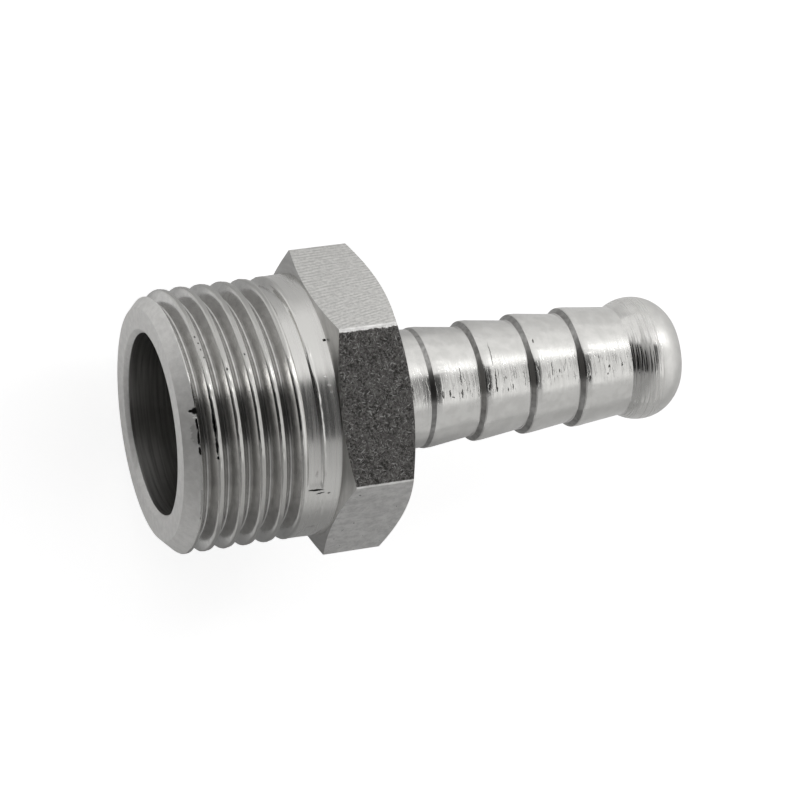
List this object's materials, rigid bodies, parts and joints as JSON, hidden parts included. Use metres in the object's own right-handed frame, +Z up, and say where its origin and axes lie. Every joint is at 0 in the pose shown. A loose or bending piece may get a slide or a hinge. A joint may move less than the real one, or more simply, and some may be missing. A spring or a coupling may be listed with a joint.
{
  "type": "hose barb tail",
  "caption": "Turned metal hose tail: male pipe thread with a wide bore, a spanner hexagon, and a barbed stem for a hose with a rounded bead at its tip.",
  "frame": {"origin": "on the surface that the part lies on, below the middle of its length", "axes": "+X along the axis from the threaded end towards the bead, +Z up from the hexagon flat that it lies on"},
  "size_m": [0.0352, 0.0196, 0.017],
  "materials": {
    "nickel_plated_brass": "nickel plated all over: bright and polished on the barbs, satin turned on the thread, as-sawn and matt on one flat of the hexagon"
  },
  "bodies": {
    "root": {"hose_tail": "nickel_plated_brass"}
  },
  "joints": []
}
